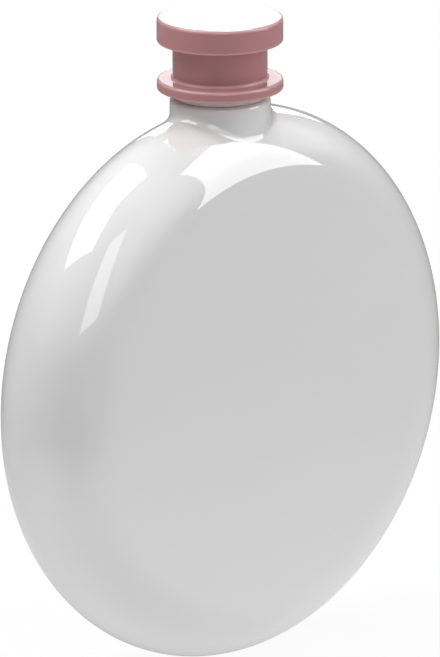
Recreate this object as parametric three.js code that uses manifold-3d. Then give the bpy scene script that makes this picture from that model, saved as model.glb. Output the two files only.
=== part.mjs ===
// Round pocket flask: a flat disc of drawn sheet with a bullnose rim, a short neck and a spool-shaped screw stopper.
// Millimetres, +Z up along the neck, front face towards -Y, the lowest point of the rim on the origin.
import * as THREE from "three";
import { mergeVertices } from "three/addons/utils/BufferGeometryUtils.js";
import Module from "manifold-3d";

const wasm = await Module();
wasm.setup();

// Disc body, two drawn shells that meet edge to edge on the plane y = 0
const bodyDiameter = 100;
const bodyThickness = 25;
const shellWall = 0.8;

// Neck, a formed collar welded into the crown of the disc
const neckDiameter = 18;
const neckRise = 2.15; // rim of the neck above the crown of the disc
const collarWall = 1;
const neckFilletRadius = 2; // flare between the neck and the disc
const rimEdgeRadius = 0.75; // rounded outer edge of the neck's rim
const footLap = 0.4; // how far the collar runs on along the disc past its flare
const weldGap = 0.2;

// Threaded bush inside the neck: its bore is the root of the female thread
const bushWall = 1;
const bushLength = 11;
const bushChamfer = 0.4;
const bushFitGap = 0.1;

// Seal ring between the neck's rim and the stopper's flange
const sealThickness = 1.3;
const sealSetback = 0.6; // edge of the seal inside the neck's outer wall
const sealEdgeRadius = 0.3;
const seatGap = 0.05;

// Stopper: knob disc, waist and flange are one moulding, hollow from below
const knobDiameter = 22.5;
const knobHeight = 4.3;
const waistDiameter = 16.9;
const waistHeight = 7;
const flangeDiameter = 22.5;
const flangeThickness = 2;
const stopperEdgeRadius = 0.45;
const waistFilletRadius = 0.4;
const stopperWall = 1.6;
const stopperRoof = 2;

// Plug: its barrel is the root of the male thread, and its spigot is pushed into the stopper
const threadDepth = 0.8; // between the plug's barrel and the bush's bore, filled by both threads
const plugReach = 7.6; // below the neck's rim
const plugWall = 1.3;
const plugWeb = 1.6;
const plugChamfer = 0.6;
const pilotLength = 0.8; // plain land under the seal that centres the plug in the bush
const pilotGap = 0.15;
const spigotFitGap = 0.15;

// Facets: arcs of a turned profile get twice arcSteps
const aroundBody = 72;
const aroundNeck = 48;
const aroundStopper = 44;
const rimArcSteps = 4;
const edgeArcSteps = 2;

const bodyRadius = bodyDiameter / 2;
const rimRadius = bodyThickness / 2;
const rimCentre = bodyRadius - rimRadius; // radius of the circle that the bullnose is drawn round
const neckRadius = neckDiameter / 2;
const neckBoreRadius = neckRadius - collarWall;
const neckRim = bodyRadius + neckRise; // heights are measured from the disc's centre until the last group
const bushOuterRadius = neckBoreRadius - bushFitGap;
const bushBoreRadius = bushOuterRadius - bushWall;
const plugRadius = bushBoreRadius - threadDepth;
const pilotRadius = bushBoreRadius - pilotGap;
const stopperCoreRadius = waistDiameter / 2 - stopperWall;
const spigotRadius = stopperCoreRadius - spigotFitGap;

const whiteCoat = new THREE.MeshStandardMaterial({ color: 0xf2f2f2, roughness: 0.12, metalness: 0 });
const rosePlastic = new THREE.MeshStandardMaterial({ color: 0xb97c80, roughness: 0.25, metalness: 0 });
const bareSteel = new THREE.MeshStandardMaterial({ color: 0xb8b8ba, roughness: 0.3, metalness: 1 });
const paleSilicone = new THREE.MeshStandardMaterial({ color: 0xd9d6d4, roughness: 0.55, metalness: 0 });
const plugPlastic = new THREE.MeshStandardMaterial({ color: 0xe9e6e3, roughness: 0.35, metalness: 0 });

// A closed profile of (radius, height) turned about +Z
function turned(path, segments, arcSteps) {
  const profile = path.getPoints(arcSteps);
  profile.push(profile[0].clone());
  return new THREE.LatheGeometry(profile, segments).rotateX(Math.PI / 2);
}

// Positions alone, with shared vertices merged, as booleans need them
function bare(geometry) {
  const copy = geometry.clone();
  copy.deleteAttribute("normal");
  copy.deleteAttribute("uv");
  return mergeVertices(copy, 1e-4);
}

function solidOf(geometry) {
  const merged = bare(geometry);
  const vertProperties = new Float32Array(merged.attributes.position.array);
  const triVerts = new Uint32Array(merged.index.array);
  return new wasm.Manifold(new wasm.Mesh({ numProp: 3, vertProperties, triVerts }));
}

function geometryOf(solid) {
  const { vertProperties, triVerts } = solid.getMesh();
  const geometry = new THREE.BufferGeometry();
  geometry.setAttribute("position", new THREE.BufferAttribute(vertProperties, 3));
  geometry.setIndex(new THREE.BufferAttribute(triVerts, 1));
  geometry.computeVertexNormals();
  return geometry;
}

function piece(name, geometry, material) {
  const mesh = new THREE.Mesh(geometry, material);
  mesh.name = name;
  return mesh;
}

// Height of the disc's outer skin over the plan point (x, y) near the crown
function skinHeight(x, y) {
  const reach = rimCentre + Math.sqrt(rimRadius ** 2 - y ** 2);
  return Math.sqrt(reach ** 2 - x ** 2);
}

// The flare between the neck and the disc, seen in the upright plane at an angle round the neck:
// a ball of the fillet's radius that touches both the neck's wall and the skin
function flareAt(angle) {
  const skin = (r) => skinHeight(r * Math.cos(angle), r * Math.sin(angle));
  const step = 1e-3;
  const slopeAt = (r) => (skin(r + step) - skin(r - step)) / (2 * step);
  const ballRadius = (r) => r - (neckFilletRadius * slopeAt(r)) / Math.hypot(1, slopeAt(r));
  let low = 0;
  let high = neckRadius + neckFilletRadius;
  if (Math.sin(angle) !== 0) high = Math.min(high, (rimRadius - 2 * step) / Math.abs(Math.sin(angle)));
  const halvings = 50;
  for (let i = 0; i < halvings; i++) {
    const middle = (low + high) / 2;
    if (ballRadius(middle) < neckRadius + neckFilletRadius) low = middle;
    else high = middle;
  }
  const slope = slopeAt(low);
  const centreHeight = skin(low) + neckFilletRadius / Math.hypot(1, slope);
  const touch = Math.atan2(skin(low) - centreHeight, low - (neckRadius + neckFilletRadius));
  return { touchRadius: low, slope, centreHeight, touch: touch > 0 ? touch - 2 * Math.PI : touch, skin };
}

const footRadius = (angle) => flareAt(angle).touchRadius + footLap;

// One upright section of the collar, as (radius, height) points from the rim's inner edge outwards and back underneath
function collarSection(angle) {
  const { slope, centreHeight, touch, skin } = flareAt(angle);
  const ball = neckRadius + neckFilletRadius;
  const lean = Math.hypot(1, slope);
  const foot = footRadius(angle);
  const footHeight = skin(foot);
  const section = new THREE.Path();
  section.moveTo(neckBoreRadius, neckRim);
  section.lineTo(neckRadius - rimEdgeRadius, neckRim);
  section.absarc(neckRadius - rimEdgeRadius, neckRim - rimEdgeRadius, rimEdgeRadius, Math.PI / 2, 0, true);
  section.lineTo(neckRadius, centreHeight);
  section.absarc(ball, centreHeight, neckFilletRadius, -Math.PI, touch, false);
  section.lineTo(foot, footHeight);
  section.lineTo(foot + (collarWall * slope) / lean, footHeight - collarWall / lean);
  section.absarc(ball, centreHeight, neckFilletRadius + collarWall, touch, -Math.PI, true);
  return section.getPoints(edgeArcSteps);
}

// Closed sections set upright round +Z and skinned into one ring
function loftedRing(sectionAt, segments) {
  const sections = [];
  for (let i = 0; i < segments; i++) sections.push(sectionAt((2 * Math.PI * i) / segments));
  const count = sections[0].length;
  const positions = [];
  const index = [];
  sections.forEach((section, i) => {
    const angle = (2 * Math.PI * i) / segments;
    section.forEach((p) => positions.push(p.x * Math.cos(angle), p.x * Math.sin(angle), p.y));
    const next = ((i + 1) % segments) * count;
    for (let j = 0; j < count; j++) {
      const here = i * count + j;
      const over = i * count + ((j + 1) % count);
      const ahead = next + j;
      const aheadOver = next + ((j + 1) % count);
      index.push(here, over, ahead, over, aheadOver, ahead);
    }
  });
  const geometry = new THREE.BufferGeometry();
  geometry.setAttribute("position", new THREE.Float32BufferAttribute(positions, 3));
  geometry.setIndex(index);
  return geometry;
}

// Upright prism through the crown that clears the collar's foot
function neckOpening() {
  const outline = [];
  for (let i = 0; i < aroundNeck; i++) {
    const angle = (2 * Math.PI * i) / aroundNeck;
    const r = footRadius(angle) + weldGap;
    outline.push(new THREE.Vector2(r * Math.cos(angle), r * Math.sin(angle)));
  }
  return new THREE.ExtrudeGeometry(new THREE.Shape(outline), { depth: 2 * bodyRadius, bevelEnabled: false });
}

// One drawn half of the disc, turned about the disc's own axis, which is Y; side is -1 for the front and 1 for the back
function shell(side) {
  const section = new THREE.Path();
  section.moveTo(0, rimRadius);
  section.lineTo(rimCentre, rimRadius);
  section.absarc(rimCentre, 0, rimRadius, Math.PI / 2, 0, true);
  section.lineTo(bodyRadius - shellWall, 0);
  section.absarc(rimCentre, 0, rimRadius - shellWall, 0, Math.PI / 2, false);
  section.lineTo(0, rimRadius - shellWall);
  const profile = section.getPoints(rimArcSteps).map((p) => new THREE.Vector2(p.x, side * p.y));
  if (side > 0) profile.reverse();
  const dish = new THREE.LatheGeometry(profile, aroundBody);
  return geometryOf(solidOf(dish).subtract(solidOf(neckOpening())));
}

function neckBush() {
  const outer = bushOuterRadius;
  const bottom = neckRim - bushLength;
  const section = new THREE.Path();
  section.moveTo(bushBoreRadius, bottom + bushChamfer);
  section.lineTo(bushBoreRadius + bushChamfer, bottom);
  section.lineTo(outer - bushChamfer, bottom);
  section.lineTo(outer, bottom + bushChamfer);
  section.lineTo(outer, neckRim);
  section.lineTo(bushBoreRadius + bushChamfer, neckRim);
  section.lineTo(bushBoreRadius, neckRim - bushChamfer);
  return turned(section, aroundNeck, edgeArcSteps);
}

// Heights from here up are measured from the neck's rim
const sealBottom = seatGap;
const flangeBottom = sealBottom + sealThickness + seatGap;
const waistBottom = flangeBottom + flangeThickness;
const knobBottom = waistBottom + waistHeight;
const stopperTop = knobBottom + knobHeight;
const coreTop = stopperTop - stopperRoof;

function sealRing() {
  const inner = pilotRadius + seatGap;
  const outer = neckRadius - sealSetback;
  const top = sealBottom + sealThickness;
  const section = new THREE.Path();
  section.moveTo(inner, sealBottom);
  section.lineTo(outer - sealEdgeRadius, sealBottom);
  section.absarc(outer - sealEdgeRadius, sealBottom + sealEdgeRadius, sealEdgeRadius, -Math.PI / 2, 0, false);
  section.absarc(outer - sealEdgeRadius, top - sealEdgeRadius, sealEdgeRadius, 0, Math.PI / 2, false);
  section.lineTo(inner, top);
  return turned(section, aroundStopper, edgeArcSteps);
}

function stopperKnob() {
  const knob = knobDiameter / 2;
  const flange = flangeDiameter / 2;
  const waist = waistDiameter / 2;
  const edge = stopperEdgeRadius;
  const section = new THREE.Path();
  section.moveTo(stopperCoreRadius, flangeBottom);
  section.lineTo(flange - edge, flangeBottom);
  section.absarc(flange - edge, flangeBottom + edge, edge, -Math.PI / 2, 0, false);
  section.absarc(flange - edge, waistBottom - edge, edge, 0, Math.PI / 2, false);
  section.lineTo(waist + waistFilletRadius, waistBottom);
  section.absarc(waist + waistFilletRadius, waistBottom + waistFilletRadius, waistFilletRadius, -Math.PI / 2, -Math.PI, true);
  section.lineTo(waist, knobBottom);
  section.lineTo(knob - edge, knobBottom);
  section.absarc(knob - edge, knobBottom + edge, edge, -Math.PI / 2, 0, false);
  section.absarc(knob - edge, stopperTop - edge, edge, 0, Math.PI / 2, false);
  section.lineTo(0, stopperTop);
  section.lineTo(0, coreTop);
  section.lineTo(stopperCoreRadius, coreTop);
  return turned(section, aroundStopper, edgeArcSteps);
}

function stopperPlug() {
  const tip = -plugReach;
  const pilotTop = flangeBottom - seatGap;
  const webTop = flangeBottom + plugWeb;
  const spigotTop = coreTop - seatGap;
  const section = new THREE.Path();
  section.moveTo(0, flangeBottom);
  section.lineTo(plugRadius - plugWall, flangeBottom);
  section.lineTo(plugRadius - plugWall, tip);
  section.lineTo(plugRadius - plugChamfer, tip);
  section.lineTo(plugRadius, tip + plugChamfer);
  section.lineTo(plugRadius, -pilotLength - (pilotRadius - plugRadius));
  section.lineTo(pilotRadius, -pilotLength);
  section.lineTo(pilotRadius, pilotTop);
  section.lineTo(spigotRadius, pilotTop);
  section.lineTo(spigotRadius, spigotTop);
  section.lineTo(spigotRadius - plugWall, spigotTop);
  section.lineTo(spigotRadius - plugWall, webTop);
  section.lineTo(0, webTop);
  return turned(section, aroundStopper, edgeArcSteps);
}

const stopper = new THREE.Group();
stopper.position.z = neckRim;
stopper.add(
  piece("seal_ring", sealRing(), paleSilicone),
  piece("stopper_knob", stopperKnob(), rosePlastic),
  piece("stopper_plug", stopperPlug(), plugPlastic),
);

const flask = new THREE.Group();
flask.position.z = bodyRadius;
flask.add(
  piece("front_shell", shell(-1), whiteCoat),
  piece("back_shell", shell(1), whiteCoat),
  piece("neck_collar", loftedRing(collarSection, aroundNeck), whiteCoat),
  piece("neck_bush", neckBush(), bareSteel),
  stopper,
);

const root = new THREE.Group();
root.add(flask);

export default root;
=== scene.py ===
"""Round pocket flask: white enamelled disc, flared neck and a rose spool-shaped stopper.
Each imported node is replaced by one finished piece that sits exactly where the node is."""
import math

import bmesh
import bpy
from mathutils import Matrix, Vector


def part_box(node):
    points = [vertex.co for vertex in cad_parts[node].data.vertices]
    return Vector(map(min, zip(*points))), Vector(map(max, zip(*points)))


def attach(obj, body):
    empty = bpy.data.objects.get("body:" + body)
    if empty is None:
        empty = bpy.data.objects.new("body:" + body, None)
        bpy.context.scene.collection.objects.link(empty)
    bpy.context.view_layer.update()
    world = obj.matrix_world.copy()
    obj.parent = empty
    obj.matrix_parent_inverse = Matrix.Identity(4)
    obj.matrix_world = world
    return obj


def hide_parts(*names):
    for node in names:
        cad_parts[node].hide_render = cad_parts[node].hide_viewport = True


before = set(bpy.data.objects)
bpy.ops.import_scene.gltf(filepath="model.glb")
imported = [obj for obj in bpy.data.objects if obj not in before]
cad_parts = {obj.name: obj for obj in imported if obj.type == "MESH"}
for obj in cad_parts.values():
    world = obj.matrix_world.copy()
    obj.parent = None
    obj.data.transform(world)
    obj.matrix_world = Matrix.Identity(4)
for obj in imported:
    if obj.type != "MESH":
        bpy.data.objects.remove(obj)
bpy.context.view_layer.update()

# Sizes in metres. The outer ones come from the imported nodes.
body_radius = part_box("front_shell")[1].x
rim_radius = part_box("back_shell")[1].y
rim_centre = body_radius - rim_radius
disc_centre = Vector((0, 0, body_radius))
neck_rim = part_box("neck_collar")[1].z
bush_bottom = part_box("neck_bush")[0].z
bush_outer_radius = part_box("neck_bush")[1].x
seal_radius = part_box("seal_ring")[1].x
seal_bottom, seal_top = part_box("seal_ring")[0].z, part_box("seal_ring")[1].z
stopper_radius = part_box("stopper_knob")[1].x
stopper_bottom, stopper_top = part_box("stopper_knob")[0].z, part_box("stopper_knob")[1].z
plug_tip, spigot_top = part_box("stopper_plug")[0].z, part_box("stopper_plug")[1].z

shell_wall = 0.0008
neck_radius = 0.009
collar_wall = 0.001
flare_radius = 0.0024
flare_lap = 0.0004
neck_rim_rounding = 0.0009

bush_wall = 0.001
bush_chamfer = 0.0004
bush_bore = bush_outer_radius - bush_wall

flange_thickness = 0.002
knob_height = 0.0045
cap_drop = 0.0001
waist_bottom = stopper_bottom + flange_thickness
cap_top = stopper_top - cap_drop
knob_bottom = cap_top - knob_height
waist_radius = 0.00845
stopper_wall = 0.0016
stopper_roof = 0.002
stopper_rounding = 0.00045
cap_rounding = 0.00075
flange_rounding = 0.00065
waist_rounding = 0.0004
foot_rounding = 0.00055

thread_room = 0.0008
slip_fit = 0.00015
plug_radius = bush_bore - thread_room
plug_wall = 0.0013
plug_web = 0.0016
plug_chamfer = 0.0006
pilot_radius = bush_bore - slip_fit
pilot_length = 0.0008
spigot_radius = waist_radius - stopper_wall - slip_fit
seat_gap = 0.00005
seal_rounding = 0.0003

thread_pitch = 0.003
thread_height = 0.00055
thread_foot = 0.0011
thread_crest = 0.0006
thread_sunk = 0.0002
thread_depth = 0.00645
thread_start = neck_rim - thread_depth

merge_distance = 1e-7

# Lengths of thread, in turns.
thread_run_out = 0.25
plug_turns = 1.5
bush_turns = 2

# Steps of the mesh: around each form, in each turn of thread, and over each rounding.
around_disc = 288
around_neck = 216
around_stopper = 192
thread_steps = 96
rim_segments = 32
edge_segments = 8

# How much of plain white reflections see at the horizon and on the far floor.
horizon_level = 0.27


def piece_from(bm, name):
    """Closes a bmesh into an object at the origin with smooth faces that point outwards."""
    bmesh.ops.remove_doubles(bm, verts=bm.verts, dist=merge_distance)
    bmesh.ops.recalc_face_normals(bm, faces=bm.faces)
    for face in bm.faces:
        face.smooth = True
    mesh = bpy.data.meshes.new(name)
    bm.to_mesh(mesh)
    bm.free()
    piece = bpy.data.objects.new(name, mesh)
    bpy.context.scene.collection.objects.link(piece)
    return piece


def add_profile(bm, corners):
    """Draws a profile of (radius, height, rounding, segments) corners in the XZ plane, and rounds them.
    A profile that starts and ends on the axis stays open there."""
    chain = [bm.verts.new((radius, 0, height)) for radius, height, _, _ in corners]
    closing = [] if corners[0][0] == corners[-1][0] == 0 else [(chain[-1], chain[0])]
    for ends in [*zip(chain, chain[1:]), *closing]:
        bm.edges.new(ends)
    for corner, (_, _, rounding, segments) in zip(chain, corners):
        if rounding:
            bmesh.ops.bevel(bm, geom=[corner], offset=rounding, offset_type="OFFSET", segments=segments,
                            profile=0.5, affect="VERTICES", material=-1)
    bmesh.ops.remove_doubles(bm, verts=bm.verts, dist=merge_distance)


def plain(*corners):
    """Square corners as add_profile takes them."""
    return [(radius, height, 0, 0) for radius, height in corners]


def spin_round(bm, steps):
    bmesh.ops.spin(bm, geom=bm.verts[:] + bm.edges[:], cent=(0, 0, 0), axis=(0, 0, 1), angle=math.tau,
                   steps=steps, use_merge=True)


def harden(piece):
    """Flat and straight faces keep their own direction; the rounded edges between them carry the turn."""
    weighted = piece.modifiers.new("flat_faces_lead", "WEIGHTED_NORMAL")
    weighted.mode = "FACE_AREA"
    weighted.weight = 100
    weighted.keep_sharp = True


def sharpen(piece, degrees):
    piece.data.set_sharp_from_angle(angle=math.radians(degrees))


def disc_direction(point):
    """Outward direction of the disc's skin, and how deep under it the point lies."""
    place = point - disc_centre
    radial = Vector((place.x, 0, place.z))
    if radial.length <= rim_centre:
        return Vector((0, math.copysign(1, place.y), 0)), rim_radius - abs(place.y)
    from_rim = place - radial.normalized() * rim_centre
    return from_rim.normalized(), rim_radius - from_rim.length


def skin_height(x, y):
    """Height of the disc's skin over a plan point near the crown."""
    reach = rim_centre + math.sqrt(rim_radius ** 2 - y ** 2)
    return body_radius + math.sqrt(reach ** 2 - x ** 2)


def flare_at(angle):
    """The neck's flare in the upright plane at an angle, as a ball that rolls round the neck leaves it. Gives
    the radius where the ball touches the skin, its centre's height, the skin's slope there, and the skin."""
    def skin(r):
        return skin_height(r * math.cos(angle), r * math.sin(angle))

    def slope(r):
        step = 1e-6
        return (skin(r + step) - skin(r - step)) / (2 * step)

    ball = neck_radius + flare_radius
    low, high = 0, ball
    halvings = 40
    for _ in range(halvings):
        middle = (low + high) / 2
        if middle - flare_radius * slope(middle) / math.hypot(1, slope(middle)) < ball:
            low = middle
        else:
            high = middle
    lean = math.hypot(1, slope(low))
    return low, skin(low) + flare_radius / lean, slope(low), skin


def foot_radius(angle):
    return flare_at(angle)[0] + flare_lap


def arc(centre, radius, start, end, segments):
    turn = [start + (end - start) * i / segments for i in range(segments + 1)]
    return [(centre[0] + radius * math.cos(a), centre[1] + radius * math.sin(a)) for a in turn]


def collar_section(angle):
    """Upright section of the neck at an angle: (radius, height) points from the rim's inner edge down the
    outside to the foot, and back up the inside."""
    touch, ball_height, slope, skin = flare_at(angle)
    ball = (neck_radius + flare_radius, ball_height)
    foot = touch + flare_lap
    lean = math.hypot(1, slope)
    end = math.atan2(skin(touch) - ball_height, touch - ball[0])
    edge = (neck_radius - neck_rim_rounding, neck_rim - neck_rim_rounding)
    lip = math.acos((neck_rim_rounding - collar_wall) / neck_rim_rounding)
    return [
        *arc(edge, neck_rim_rounding, lip, 0, edge_segments),
        *arc(ball, flare_radius, -math.pi, end, 2 * edge_segments),
        (foot, skin(foot)),
        (foot + collar_wall * slope / lean, skin(foot) - collar_wall / lean),
        *arc(ball, flare_radius + collar_wall, end, -math.pi, edge_segments),
    ]


def make_neck():
    """The neck's ring is spun as a plain collar, then each section is set down on the saddle of the rim.
    Where its flare meets the disc, it takes the disc's own direction, so no line shows."""
    bm = bmesh.new()
    row = bm.verts.layers.int.new("row")
    chain = [bm.verts.new((r, 0, z)) for r, z in collar_section(0)]
    for i, vert in enumerate(chain):
        vert[row] = i
    for ends in zip(chain, chain[1:] + chain[:1]):
        bm.edges.new(ends)
    spin_round(bm, around_neck)
    sections = {}
    for vert in bm.verts:
        angle = round(math.atan2(vert.co.y, vert.co.x), 6)
        if angle not in sections:
            sections[angle] = collar_section(angle)
        r, z = sections[angle][vert[row]]
        vert.co = (r * math.cos(angle), r * math.sin(angle), z)
    touch_row = 3 * edge_segments + 1
    on_disc = [vert[row] in (touch_row, touch_row + 1) for vert in bm.verts]
    neck = piece_from(bm, "neck_enamel")
    sharpen(neck, degrees=50)
    directions = []
    for vert, lies_on_disc in zip(neck.data.vertices, on_disc):
        directions.append(disc_direction(vert.co)[0] if lies_on_disc else vert.normal.copy())
    neck.data.normals_split_custom_set_from_vertices(directions)
    return neck


def make_opening():
    """Prism through the crown with the outline of the neck's foot."""
    bm = bmesh.new()
    bmesh.ops.create_circle(bm, cap_ends=True, segments=around_neck, radius=1)
    for vert in bm.verts:
        angle = math.atan2(vert.co.y, vert.co.x)
        r = foot_radius(angle)
        vert.co = (r * math.cos(angle), r * math.sin(angle), body_radius)
    walls = bmesh.ops.extrude_face_region(bm, geom=bm.faces[:])
    top = [item for item in walls["geom"] if isinstance(item, bmesh.types.BMVert)]
    bmesh.ops.translate(bm, verts=top, vec=(0, 0, 2 * body_radius))
    return piece_from(bm, "opening")


def make_shell(name, side, opening):
    """One drawn half of the disc, opened for the neck. Side is -1 for the front and 1 for the back."""
    inner = rim_radius - shell_wall
    bm = bmesh.new()
    add_profile(bm, [
        (0, rim_radius, 0, 0),
        (body_radius, rim_radius, rim_radius, rim_segments),
        (body_radius, 0, 0, 0),
        (body_radius - shell_wall, 0, 0, 0),
        (body_radius - shell_wall, inner, inner, rim_segments // 2),
        (0, inner, 0, 0),
    ])
    spin_round(bm, around_disc)
    upright = Matrix.Rotation(-side * math.pi / 2, 3, "X")
    bmesh.ops.rotate(bm, verts=bm.verts, cent=(0, 0, 0), matrix=upright)
    bmesh.ops.translate(bm, verts=bm.verts, vec=disc_centre)
    shell = piece_from(bm, name)
    cut = shell.modifiers.new("neck_opening", "BOOLEAN")
    cut.object = opening
    cut.solver = "EXACT"
    opened = shell.evaluated_get(bpy.context.evaluated_depsgraph_get())
    finished = bpy.data.meshes.new_from_object(opened)
    shell.modifiers.clear()
    shell.data = finished
    directions = []
    for vert in finished.vertices:
        outside, depth = disc_direction(vert.co)
        directions.append(outside if depth < shell_wall / 2 else -outside)
    finished.normals_split_custom_set_from_vertices(directions)
    return shell


def add_thread(bm, root, inward, bottom, turns):
    """A right-hand ridge that runs out to nothing at both ends. Inward ridges belong to a bore."""
    sign = -1 if inward else 1
    crest = root + sign * thread_height
    sunk = root - sign * thread_sunk
    before = set(bm.verts)
    corners = (
        (sunk, -thread_foot / 2),
        (crest, -thread_crest / 2),
        (crest, thread_crest / 2),
        (sunk, thread_foot / 2),
    )
    chain = [bm.verts.new((r, 0, bottom + z)) for r, z in corners]
    edges = [bm.edges.new(ends) for ends in zip(chain, chain[1:] + chain[:1])]
    bm.faces.new(chain)
    steps = round(thread_steps * turns)
    swept = bmesh.ops.spin(bm, geom=chain + edges, cent=(0, 0, 0), axis=(0, 0, 1), angle=math.tau * turns,
                           dvec=(0, 0, thread_pitch * turns / steps), steps=steps)
    last = [item for item in swept["geom_last"] if isinstance(item, bmesh.types.BMVert)]
    bmesh.ops.contextual_create(bm, geom=last)
    for vert in set(bm.verts) - before:
        gone = (vert.co.z - bottom) / thread_pitch
        share = max(0, min(1, gone / thread_run_out, (turns - gone) / thread_run_out))
        r = math.hypot(vert.co.x, vert.co.y)
        scale = (sunk + (r - sunk) * share) / r
        vert.co.x *= scale
        vert.co.y *= scale


def make_bush():
    bm = bmesh.new()
    add_profile(bm, plain(
        (bush_bore, bush_bottom + bush_chamfer),
        (bush_bore + bush_chamfer, bush_bottom),
        (bush_outer_radius - bush_chamfer, bush_bottom),
        (bush_outer_radius, bush_bottom + bush_chamfer),
        (bush_outer_radius, neck_rim),
        (bush_bore + bush_chamfer, neck_rim),
        (bush_bore, neck_rim - bush_chamfer)))
    spin_round(bm, around_stopper)
    add_thread(bm, bush_bore, inward=True, bottom=thread_start - thread_pitch / 2, turns=bush_turns)
    bush = piece_from(bm, "neck_bush_threaded")
    sharpen(bush, degrees=30)
    return bush


def make_seal():
    inner = pilot_radius + seat_gap
    bm = bmesh.new()
    add_profile(bm, [
        (inner, seal_bottom, seal_rounding / 2, edge_segments),
        (seal_radius, seal_bottom, seal_rounding, edge_segments),
        (seal_radius, seal_top, seal_rounding, edge_segments),
        (inner, seal_top, seal_rounding / 2, edge_segments),
    ])
    spin_round(bm, around_stopper)
    seal = piece_from(bm, "seal_ring_soft")
    harden(seal)
    return seal


def make_stopper():
    """Knob disc, waist and flange in one, hollow from below."""
    core = waist_radius - stopper_wall
    bm = bmesh.new()
    add_profile(bm, [
        (0, stopper_top - stopper_roof, 0, 0),
        (core, stopper_top - stopper_roof, waist_rounding, edge_segments),
        (core, stopper_bottom, 0, 0),
        (stopper_radius, stopper_bottom, stopper_rounding, edge_segments),
        (stopper_radius, waist_bottom, flange_rounding, edge_segments),
        (waist_radius, waist_bottom, foot_rounding, edge_segments),
        (waist_radius, knob_bottom, waist_rounding, edge_segments),
        (stopper_radius, knob_bottom, stopper_rounding, edge_segments),
        (stopper_radius, cap_top, cap_rounding, edge_segments),
        (0, cap_top, 0, 0),
    ])
    spin_round(bm, around_stopper)
    stopper = piece_from(bm, "stopper_spool")
    sharpen(stopper, degrees=40)
    harden(stopper)
    return stopper


def make_plug():
    """Hollow threaded plug: its pilot sits in the ring and the bush's mouth, its spigot in the stopper."""
    web_top = stopper_bottom + plug_web
    pilot_top = stopper_bottom - seat_gap
    pilot_bottom = neck_rim - pilot_length
    bore = plug_radius - plug_wall
    cup = spigot_radius - plug_wall
    bm = bmesh.new()
    add_profile(bm, plain(
        (0, stopper_bottom),
        (bore, stopper_bottom),
        (bore, plug_tip),
        (plug_radius - plug_chamfer, plug_tip),
        (plug_radius, plug_tip + plug_chamfer),
        (plug_radius, pilot_bottom - pilot_radius + plug_radius),
        (pilot_radius, pilot_bottom),
        (pilot_radius, pilot_top),
        (spigot_radius, pilot_top),
        (spigot_radius, spigot_top),
        (cup, spigot_top),
        (cup, web_top),
        (0, web_top)))
    spin_round(bm, around_stopper)
    add_thread(bm, plug_radius, inward=False, bottom=thread_start, turns=plug_turns)
    plug = piece_from(bm, "stopper_plug_threaded")
    sharpen(plug, degrees=30)
    return plug


class Wire:
    """An output socket that takes part in Python expressions."""

    def __init__(self, finish, socket):
        self.finish = finish
        self.socket = socket

    def math(self, operation, first, second):
        return self.finish.node("ShaderNodeMath", {"operation": operation}, {0: first, 1: second})

    def __add__(self, other):
        return self.math("ADD", self, other)

    def __radd__(self, other):
        return self.math("ADD", other, self)

    def __sub__(self, other):
        return self.math("SUBTRACT", self, other)

    def __rsub__(self, other):
        return self.math("SUBTRACT", other, self)

    def __mul__(self, other):
        return self.math("MULTIPLY", self, other)

    def __rmul__(self, other):
        return self.math("MULTIPLY", other, self)


class Finish:
    """A material or world whose nodes are all made by one method."""

    def __init__(self, owner):
        self.owner = owner
        owner.use_nodes = True
        self.tree = owner.node_tree

    def join(self, made, sockets):
        for key, value in sockets.items():
            if isinstance(value, Wire):
                self.tree.links.new(value.socket, made.inputs[key])
            else:
                made.inputs[key].default_value = value

    def node(self, kind, settings, sockets, output=0):
        made = self.tree.nodes.new(kind)
        for key, value in settings.items():
            setattr(made, key, value)
        self.join(made, sockets)
        return Wire(self, made.outputs[output])

    def shade(self, sockets):
        """Sets or links the sockets of the material's own shader."""
        self.join(self.tree.nodes["Principled BSDF"], sockets)

    def place(self):
        return self.node("ShaderNodeTexCoord", {}, {}, "Object")

    def height(self):
        return self.node("ShaderNodeSeparateXYZ", {}, {0: self.place()}, "Z")

    def noise(self, scale, detail):
        sockets = {"Vector": self.place(), "Scale": scale, "Detail": detail}
        return self.node("ShaderNodeTexNoise", {}, sockets)

    def blend(self, share, first, second):
        return self.node("ShaderNodeMix", {"data_type": "RGBA"}, {"Factor": share, 6: first, 7: second}, 2)

    def bump(self, height, distance):
        return self.node("ShaderNodeBump", {}, {"Height": height, "Distance": distance, "Strength": 1.0})

    def vector(self, operation, sockets, output="Value"):
        return self.node("ShaderNodeVectorMath", {"operation": operation}, sockets, output)

    def distance(self, first, second):
        return self.vector("DISTANCE", {0: first, 1: second})

    def fade(self, value, start, end, first, last):
        """Smooth step from the first level to the last as a value goes from start to end."""
        sockets = {"Value": value, "From Min": start, "From Max": end, "To Min": first, "To Max": last}
        return self.node("ShaderNodeMapRange", {"interpolation_type": "SMOOTHSTEP"}, sockets)

    def upright_section(self):
        """The distance from the upright axis and the height, as X and Z."""
        plan = self.vector("MULTIPLY", {0: self.place(), 1: (1, 1, 0)}, "Vector")
        radius = self.vector("LENGTH", {0: plan})
        return self.node("ShaderNodeCombineXYZ", {}, {"X": radius, "Z": self.height()})

    def near_ring(self, section, radius, height, reach):
        """1 on a ring round the upright axis, falling to 0 at its reach."""
        away = self.distance(section, (radius, 0, height))
        return self.fade(away, start=reach / 3, end=reach, first=1.0, last=0.0)

    def ray_share(self, weights):
        """The weight of the kind of ray that meets the surface."""
        return sum(weight * self.node("ShaderNodeLightPath", {}, {}, kind)
                   for kind, weight in weights.items())


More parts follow.
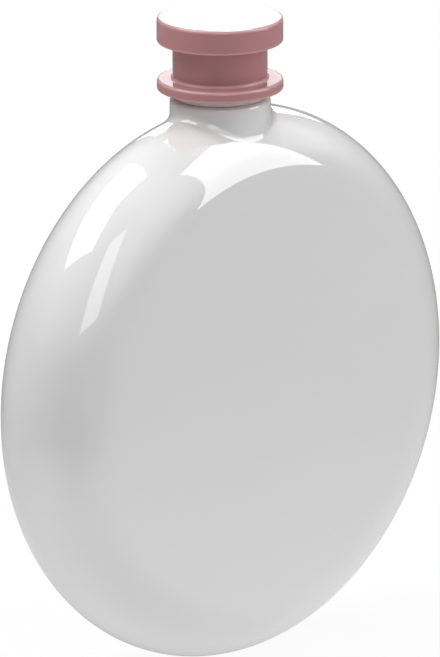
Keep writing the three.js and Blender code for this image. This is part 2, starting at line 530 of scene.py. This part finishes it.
def enamel():
    """Glossy baked white: a trace of orange peel, and a tone that drifts slowly over the disc."""
    finish = Finish(bpy.data.materials.new("white_enamel"))
    drift = finish.noise(scale=35, detail=2)
    peel = finish.noise(scale=520, detail=2)
    finish.shade({
        "Base Color": finish.blend(drift, (0.77, 0.77, 0.77, 1), (0.79, 0.79, 0.79, 1)),
        "Roughness": 0.02 + 0.02 * drift,
        "IOR": 1.5,
        "Coat Weight": 1.0,
        "Coat Roughness": 0.02,
        "Coat IOR": 1.5,
        "Normal": finish.bump(peel, distance=0.000003),
    })
    return finish.owner


def rose():
    """Glossy dusty rose with a polished cap; paler rings along its edges and at the foot of the waist are
    painted highlights.
    """
    edge_reach = 0.0006
    foot_reach = 0.0004
    polish_start = cap_top - 0.0002
    polish_full = cap_top - 0.00005
    # Radius, height, reach and paleness of each painted highlight ring.
    painted_highlight_rings = (
        (stopper_radius, cap_top, edge_reach, 0.25),
        (stopper_radius, knob_bottom, edge_reach, 0.5),
        (stopper_radius, waist_bottom, edge_reach, 0.6),
        (stopper_radius, stopper_bottom, edge_reach, 0.5),
        (waist_radius + foot_rounding / 5, waist_bottom + foot_rounding / 2, foot_reach, 0.85),
    )
    finish = Finish(bpy.data.materials.new("rose_moulding"))
    cloud = finish.noise(scale=160, detail=3)
    grain = finish.noise(scale=2600, detail=2)
    section = finish.upright_section()
    # Painted highlights: the base colour turns paler on these rings round the rounded edges and the waist
    # foot.
    edges = sum(paleness * finish.near_ring(section, radius, height, reach)
                for radius, height, reach, paleness in painted_highlight_rings)
    moulded = finish.blend(cloud, (0.476, 0.22, 0.228, 1), (0.498, 0.235, 0.244, 1))
    polish = finish.fade(finish.height(), start=polish_start, end=polish_full, first=0.0, last=1.0)
    finish.shade({
        "Base Color": finish.blend(edges, moulded, (0.66, 0.42, 0.43, 1)),
        "Roughness": 0.06 + 0.03 * cloud,
        "IOR": 1.5,
        "Coat Weight": polish,
        "Coat Roughness": 0.05,
        "Coat IOR": 1.6,
        "Normal": finish.bump(grain, distance=0.000002),
    })
    return finish.owner


def silicone():
    """Satin pale grey with a fine cloud."""
    finish = Finish(bpy.data.materials.new("pale_silicone"))
    cloud = finish.noise(scale=300, detail=3)
    finish.shade({
        "Base Color": finish.blend(cloud, (0.56, 0.53, 0.525, 1), (0.62, 0.59, 0.585, 1)),
        "Roughness": 0.45 + 0.15 * cloud,
        "Normal": finish.bump(cloud, distance=0.000004),
    })
    return finish.owner


def turned_steel():
    """Bare steel with fine tool marks round the bore."""
    finish = Finish(bpy.data.materials.new("turned_steel"))
    marks = finish.node("ShaderNodeTexWave", {"bands_direction": "Z"},
                        {"Vector": finish.place(), "Scale": 900, "Distortion": 0.6, "Detail": 2})
    cloud = finish.noise(scale=400, detail=3)
    finish.shade({
        "Base Color": finish.blend(cloud, (0.55, 0.55, 0.56, 1), (0.66, 0.66, 0.67, 1)),
        "Metallic": 1.0,
        "Roughness": 0.24 + 0.14 * cloud,
        "Normal": finish.bump(marks, distance=0.000003),
    })
    return finish.owner


def plug_plastic():
    """Plain off-white moulding."""
    finish = Finish(bpy.data.materials.new("plug_moulding"))
    cloud = finish.noise(scale=220, detail=3)
    finish.shade({
        "Base Color": finish.blend(cloud, (0.7, 0.68, 0.66, 1), (0.76, 0.74, 0.72, 1)),
        "Roughness": 0.32 + 0.1 * cloud,
        "Normal": finish.bump(cloud, distance=0.000004),
    })
    return finish.owner


def dress(piece, body, material, slot, *nodes):
    piece.data.materials.append(material)
    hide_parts(*nodes)
    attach(piece, body)


def outward(azimuth, elevation):
    """Direction from the object; azimuth 0 is in front of the front face and 90 to its right."""
    a, e = math.radians(azimuth), math.radians(elevation)
    return Vector((math.sin(a) * math.cos(e), -math.cos(a) * math.cos(e), math.sin(e)))


def facing(direction, turn):
    """Turns a camera or lamp to a direction, and by some degrees about it."""
    return direction.to_track_quat("-Z", "Y") @ Matrix.Rotation(math.radians(turn), 3, "Z").to_quaternion()


def stand(name, data, place, direction, turn):
    """Puts a camera or lamp at a place, turned to a direction."""
    holder = bpy.data.objects.new(name, data)
    holder.location = place
    holder.rotation_mode = "QUATERNION"
    holder.rotation_quaternion = facing(direction, turn)
    bpy.context.scene.collection.objects.link(holder)
    return holder


def make_camera():
    """Long lens from the photograph's side, so near and far parts keep nearly the same scale.
    The slight turn makes up for the perspective that is left."""
    lens_mm, sensor_mm = 1100, 36
    frame_height = 0.11691
    aim = Vector((-0.000141, 0.00018, 0.059404))
    back = outward(-44.86, 15.08)
    data = bpy.data.cameras.new("camera")
    data.lens = lens_mm
    data.sensor_width = sensor_mm
    data.clip_end = 20
    place = aim + back * (frame_height * lens_mm / sensor_mm)
    bpy.context.scene.camera = stand("camera", data, place, direction=aim - place, turn=-0.27)


def panel(name, place, direction, width, height, radiance, turn=0):
    """A softbox of an even radiance. The lamp's power is four times that, times its area."""
    lamp = bpy.data.lights.new(name, "AREA")
    lamp.shape = "RECTANGLE"
    lamp.size = width
    lamp.size_y = height
    lamp.energy = 4 * radiance * width * height
    stand(name, lamp, place, direction, turn)


def make_lights():
    """Softboxes: key and fill in front to the right and left, two overhead, and two behind on the right."""
    up = Vector((0, 0, 1))
    crown = 0.095 * up
    ceiling = 1.08
    overhead_radiance = 2.35
    key_side = outward(42.1, 0)
    fill_side = outward(-40.5, 0)
    back_side = outward(133, 21)
    panel("key", crown + 0.654 * key_side + 0.514 * up, -1.026 * key_side - 0.366 * up,
          width=0.393, height=0.89, radiance=2.58)
    panel("overhead_right", Vector((-0.143, 0.469, ceiling)), -up,
          width=0.41, height=0.85, radiance=overhead_radiance, turn=-13)
    panel("overhead_left", Vector((-0.517, 0.427, ceiling)), -up,
          width=0.78, height=0.81, radiance=overhead_radiance, turn=20)
    panel("fill", crown + 0.8 * fill_side + 0.67 * up, -fill_side, width=0.31, height=0.86, radiance=1.52)
    panel("back", crown + 1.2 * back_side, -back_side, width=0.66, height=0.55, radiance=1.6)
    panel("rear_top", Vector((0.5, 0.3, ceiling)), -up, width=0.42, height=0.5, radiance=6.5, turn=-14)


def make_floor():
    """Nearly white to the camera, with a soft shadow. Reflections see it grey far off and paler near the
    object as a painted pool of light, with a painted shadow under the disc and painted light to its left and
    in front."""
    bm = bmesh.new()
    bmesh.ops.create_circle(bm, cap_ends=True, segments=96, radius=3)
    floor = piece_from(bm, "floor")
    finish = Finish(bpy.data.materials.new("pale_floor"))
    place = finish.place()
    # Painted pool of light round the object; it feeds both what reflections see and the floor's glow into
    # diffuse rays.
    painted_light_pool = finish.fade(finish.distance(place, (0, 0, 0)), start=0.0, end=0.25, first=1.0, last=0.0)
    painted_floor_shine = horizon_level + 0.55 * painted_light_pool
    # A painted shadow under the disc and two painted patches of light to its left and in front, seen only in
    # reflections.
    for centre, reach, level in (
            ((-0.02, 0, 0), 0.06, -0.35),
            ((-0.11, -0.01, 0), 0.11, 0.55),
            ((-0.05, -0.09, 0), 0.08, 0.4)):
        away = finish.distance(place, centre)
        painted_floor_shine = painted_floor_shine + finish.fade(away, start=0.0, end=reach, first=level, last=0.0)
    # Glossy rays see the floor's emission at the painted reflection level above.
    white = 1 - finish.ray_share({"Is Glossy Ray": 1 - painted_floor_shine})
    # Near the object the floor also glows into diffuse rays: a painted pool of light that lights the object
    # from below.
    glowing = finish.ray_share({
        "Is Camera Ray": 0.93,
        "Is Transmission Ray": 0.93,
        "Is Glossy Ray": 0.95,
        "Is Diffuse Ray": painted_light_pool,
    })
    paint = finish.node("ShaderNodeBsdfDiffuse", {}, {"Color": (0.7, 0.7, 0.7, 1)})
    glow = finish.node("ShaderNodeEmission", {}, {"Color": (1, 1, 1, 1), "Strength": white})
    mixed = finish.node("ShaderNodeMixShader", {}, {0: glowing, 1: paint, 2: glow})
    finish.join(finish.tree.nodes["Material Output"], {"Surface": mixed})
    floor.data.materials.append(finish.owner)


def make_world():
    """White behind the object. Its soft light comes from a dome that is brightest high on the left.
    Reflections see a dim horizon, a paler ceiling and four faint glows from the left round to the right."""
    finish = Finish(bpy.data.worlds.new("studio"))
    bpy.context.scene.world = finish.owner
    direction = finish.node("ShaderNodeTexCoord", {}, {}, "Generated")

    def toward(azimuth, elevation):
        """1 towards a direction, 0 square to it."""
        return finish.vector("DOT_PRODUCT", {0: direction, 1: outward(azimuth, elevation)})

    dome = finish.fade(toward(-98, 71), start=0.75, end=1.0, first=0.0, last=1.6)
    height = toward(0, 90)
    ceiling = finish.fade(height, start=0.1, end=0.75, first=horizon_level, last=0.8)
    clear_of_horizon = finish.fade(height, start=0.12, end=0.35, first=0.0, last=1.0)
    for azimuth, elevation, start, peak in (
            (-100, 32, 0.7, 0.4),
            (-35, 22, 0.8, 0.4),
            (5, 35, 0.85, 0.45),
            (72, 40, 0.85, 0.8)):
        glow = finish.fade(toward(azimuth, elevation), start=start, end=0.98, first=0.0, last=peak)
        ceiling = ceiling + clear_of_horizon * glow
    strength = finish.ray_share({
        "Is Camera Ray": 1.0,
        "Is Transmission Ray": 1.0,
        "Is Glossy Ray": ceiling,
        "Is Diffuse Ray": dome,
    })
    finish.join(finish.tree.nodes["Background"], {"Color": (1, 1, 1, 1), "Strength": strength})


make_camera()

opening = make_opening()
coat = enamel()
dress(make_shell("front_shell_enamel", -1, opening), "flask", coat, "white_coat", "front_shell")
dress(make_shell("back_shell_enamel", 1, opening), "flask", coat, "white_coat", "back_shell")
bpy.data.objects.remove(opening)
dress(make_neck(), "flask", coat, "white_coat", "neck_collar")
dress(make_bush(), "flask", turned_steel(), "bare_steel", "neck_bush")
dress(make_seal(), "seal", silicone(), "pale_silicone", "seal_ring")
dress(make_stopper(), "stopper", rose(), "rose_plastic", "stopper_knob")
dress(make_plug(), "stopper", plug_plastic(), "plug_plastic", "stopper_plug")

make_lights()
make_floor()
make_world()

bpy.context.scene.view_settings.view_transform = "Standard"
